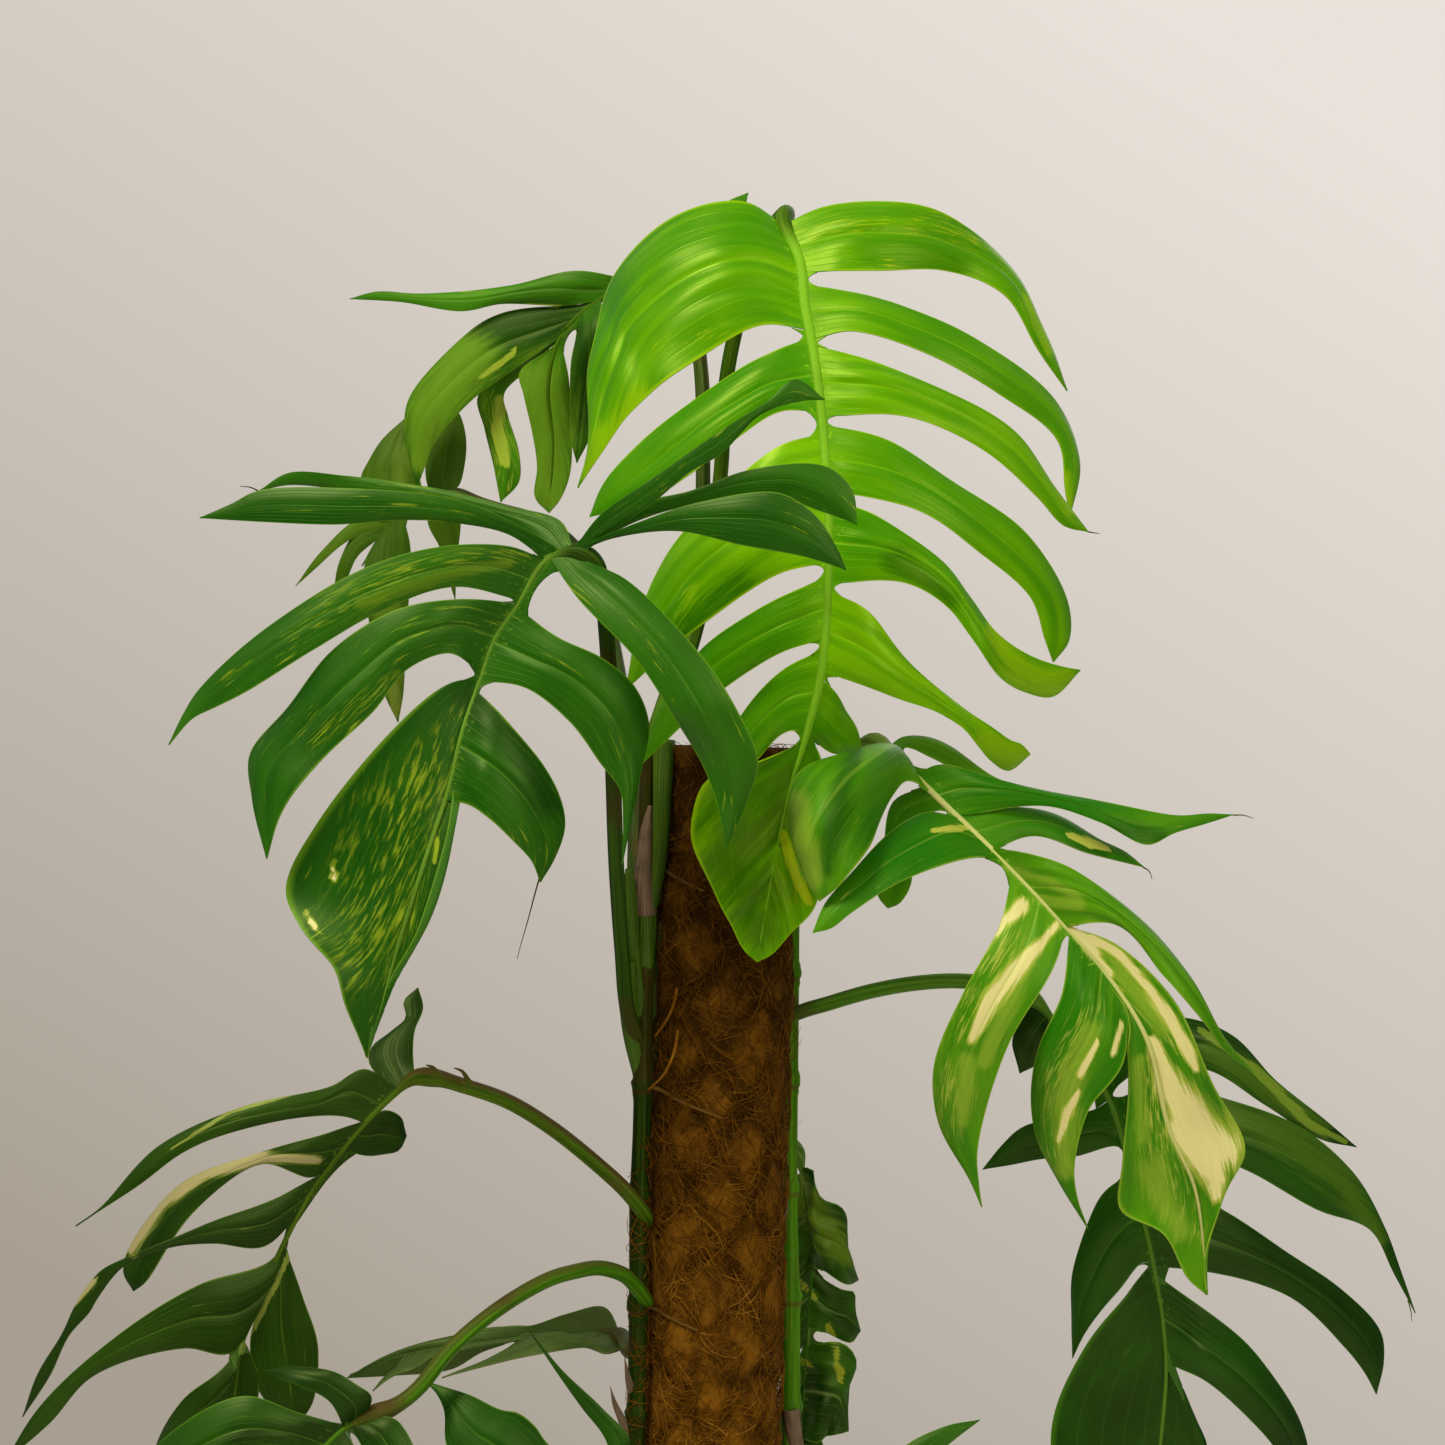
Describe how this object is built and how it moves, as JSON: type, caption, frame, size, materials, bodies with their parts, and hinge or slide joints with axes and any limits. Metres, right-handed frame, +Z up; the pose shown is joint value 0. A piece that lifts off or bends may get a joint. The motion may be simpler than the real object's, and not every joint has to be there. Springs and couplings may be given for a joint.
{
  "type": "potted dragon tail plant on a coir pole",
  "caption": "Potted climbing plant with deeply split green and yellow marbled leaves on a coir-wrapped pole, for resting on a floor or shelf.",
  "frame": {"origin": "middle of the pot's flat base, on the axis of the pole", "axes": "+Z up along the pole, -Y towards the viewer of the picture, +X to the viewer's right"},
  "size_m": [0.5907, 0.2878, 0.9465],
  "materials": {
    "pot_plastic": "matte",
    "potting_mix": "rough, bark based",
    "stake_wood": "rough sawn",
    "coir": "coarse fibre",
    "stem": "satin",
    "leaf_bright": "glossy leaf, yellow marbling",
    "leaf_dark": "glossy leaf, yellow streaks",
    "leaf_cream": "glossy leaf, cream patches",
    "leaf_dull": "satin leaf"
  },
  "bodies": {
    "root": {"pot": "pot_plastic", "soil": "potting_mix", "pole_stake": "stake_wood", "coir_wrap": "coir", "stem_left": "stem", "stem_right": "stem", "leaf_top": "leaf_bright", "leaf_left": "leaf_dark", "leaf_right": "leaf_cream", "leaf_right_lower": "leaf_dark", "leaf_left_side": "leaf_bright", "leaf_left_front": "leaf_bright", "leaf_back": "leaf_dull", "leaf_far": "leaf_dull", "leaf_left_back": "leaf_dull", "leaf_left_low": "leaf_dark", "leaf_back_right": "leaf_dark", "leaf_right_low": "leaf_bright"}
  },
  "joints": []
}
